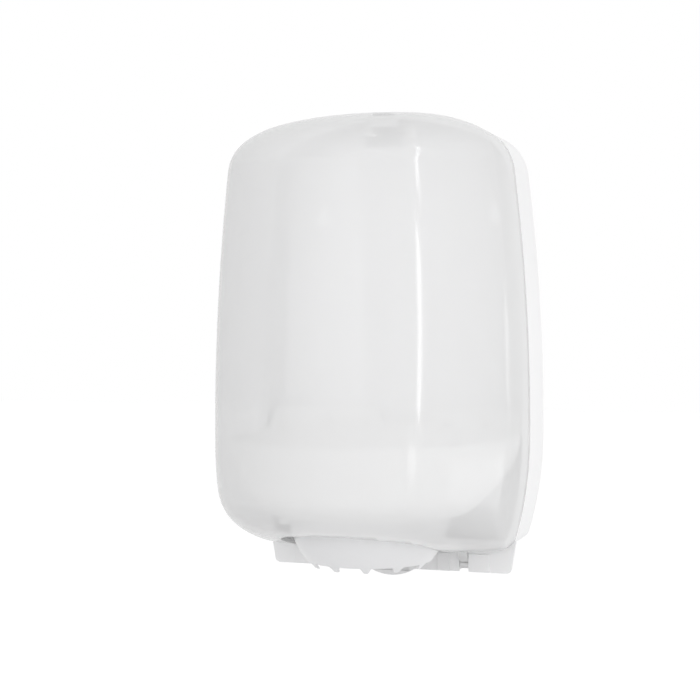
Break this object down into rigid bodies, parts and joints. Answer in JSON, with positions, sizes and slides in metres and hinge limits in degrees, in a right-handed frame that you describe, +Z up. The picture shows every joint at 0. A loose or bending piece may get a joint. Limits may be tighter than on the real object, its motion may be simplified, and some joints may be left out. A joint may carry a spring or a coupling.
{
  "type": "centrefeed roll dispenser",
  "caption": "Wall-mounted dispenser for a centrefeed paper roll, with a hinged translucent cover, a white back shell and a toothed round outlet underneath.",
  "frame": {"origin": "on the wall plane, in the middle of the width, 200 mm above the lower edge of the skirt", "axes": "+X to the right as seen from the front, +Y back into the wall, +Z up"},
  "size_m": [0.2388, 0.231, 0.3865],
  "materials": {
    "white_shell": "white moulded plastic, low gloss",
    "milky_cover": "milky translucent moulded plastic, polished outside",
    "inner_white": "white moulded plastic, matt",
    "lock_grey": "grey moulded plastic, matt",
    "zinc_steel": "zinc-plated steel"
  },
  "bodies": {
    "base": {"back_shell": "white_shell", "roll_tray": "inner_white", "tray_screw_1": "zinc_steel", "tray_screw_2": "zinc_steel", "tray_screw_3": "zinc_steel", "tray_screw_4": "zinc_steel", "nozzle_crown": "white_shell", "retaining_ring": "inner_white", "ring_screw_1": "zinc_steel", "ring_screw_2": "zinc_steel", "ring_screw_3": "zinc_steel", "ring_screw_4": "zinc_steel", "keeper_plate": "zinc_steel", "keeper_screw_left": "zinc_steel", "keeper_screw_right": "zinc_steel", "hinge_pin_left": "zinc_steel", "hinge_pin_right": "zinc_steel"},
    "feed": {"feed_funnel": "inner_white"},
    "cover": {"front_cover": "milky_cover", "lock_nut": "lock_grey"},
    "lock": {"lock_barrel": "lock_grey", "lock_cam": "lock_grey", "cam_screw": "zinc_steel"}
  },
  "joints": [
    {"name": "cover_hinge", "type": "hinge", "parent": "base", "child": "cover", "pos_m": [0, -0.0475, -0.192], "axis": [1, 0, 0], "range_deg": [0, 95]},
    {"name": "key_turn", "type": "hinge", "parent": "cover", "child": "lock", "pos_m": [0, -0.071, 0.1598], "axis": [0, 0, 1], "range_deg": [0, 90]},
    {"name": "feed_swivel", "type": "hinge", "parent": "base", "child": "feed", "pos_m": [0, -0.108, -0.14], "axis": [0, 0, 1], "continuous": true}
  ]
}
